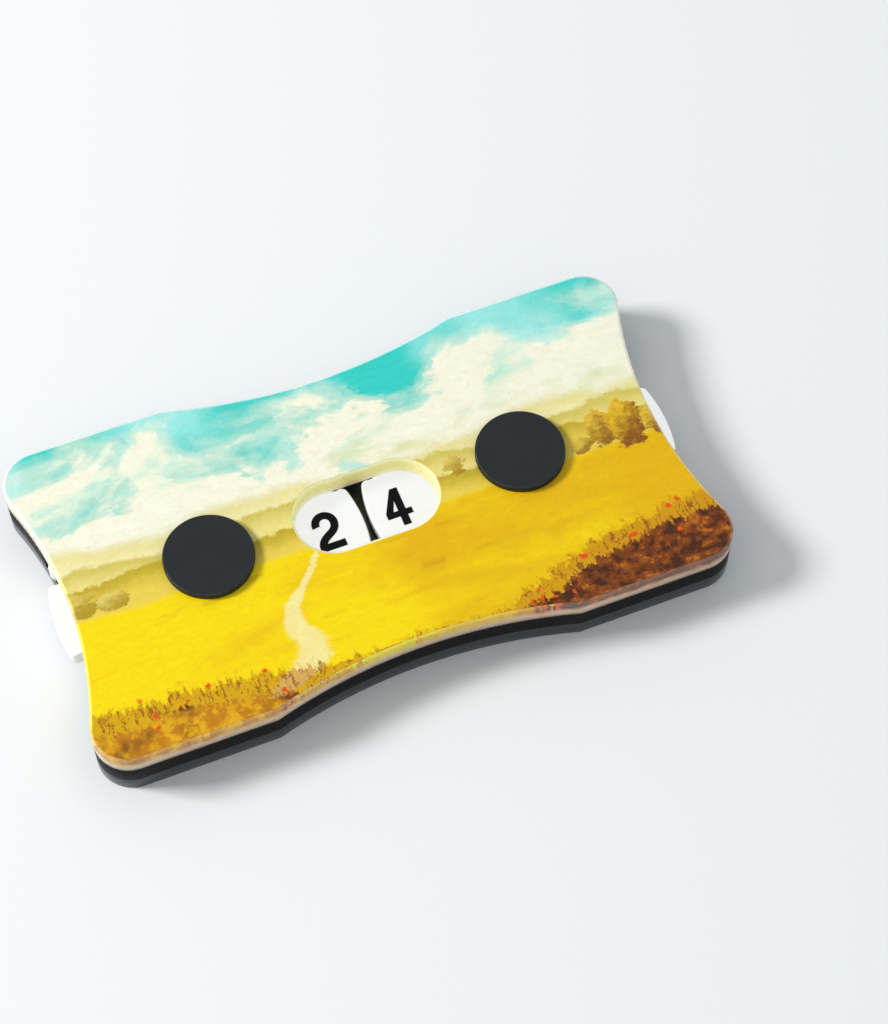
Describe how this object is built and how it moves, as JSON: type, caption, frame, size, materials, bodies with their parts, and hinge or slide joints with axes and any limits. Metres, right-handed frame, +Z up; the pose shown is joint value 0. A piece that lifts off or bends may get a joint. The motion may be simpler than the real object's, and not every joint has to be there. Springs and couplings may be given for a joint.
{
  "type": "life counter",
  "caption": "Flat two-digit life counter: stacked acrylic sheets with a pill window, and two white ten-lobed dials turned by thumb at the short sides.",
  "frame": {"origin": "middle of the underside, where the counter rests", "axes": "+X along the long sides towards the units dial, +Y towards the far long side, +Z up through the window"},
  "size_m": [0.096, 0.052, 0.0102],
  "materials": {
    "clear_acrylic": "clear cast acrylic with polished faces and laser-cut edges",
    "black_acrylic": "polished black acrylic",
    "white_acrylic": "opaque white acrylic, semi-gloss",
    "printed_ink": "full-colour printed ink, semi-gloss",
    "digit_ink": "black printed ink",
    "bond_tape": "thin black bond tape",
    "black_post": "matt black coating",
    "screw_steel": "plain steel",
    "spring_steel": "plain spring steel",
    "washer_nylon": "natural nylon"
  },
  "bodies": {
    "root": {"base_plate": "black_acrylic", "disc_spring_left": "spring_steel", "disc_spring_right": "spring_steel", "lower_tape_far": "bond_tape", "lower_tape_near": "bond_tape", "post_left": "black_post", "post_right": "black_post", "printed_face": "printed_ink", "screw_left": "screw_steel", "screw_right": "screw_steel", "slip_washer_left": "washer_nylon", "slip_washer_right": "washer_nylon", "spacer_far": "black_acrylic", "spacer_near": "black_acrylic", "top_plate": "clear_acrylic", "upper_tape_far": "bond_tape", "upper_tape_near": "bond_tape"},
    "tens_dial": {"dial_left": "white_acrylic", "tens_numerals": "digit_ink"},
    "units_dial": {"dial_right": "white_acrylic", "units_numerals": "digit_ink"}
  },
  "joints": [
    {"name": "tens_turn", "type": "hinge", "parent": "root", "child": "tens_dial", "pos_m": [-0.0239, 0, 0.00305], "axis": [0, 0, 1], "continuous": true},
    {"name": "units_turn", "type": "hinge", "parent": "root", "child": "units_dial", "pos_m": [0.0239, 0, 0.00305], "axis": [0, 0, 1], "continuous": true}
  ]
}
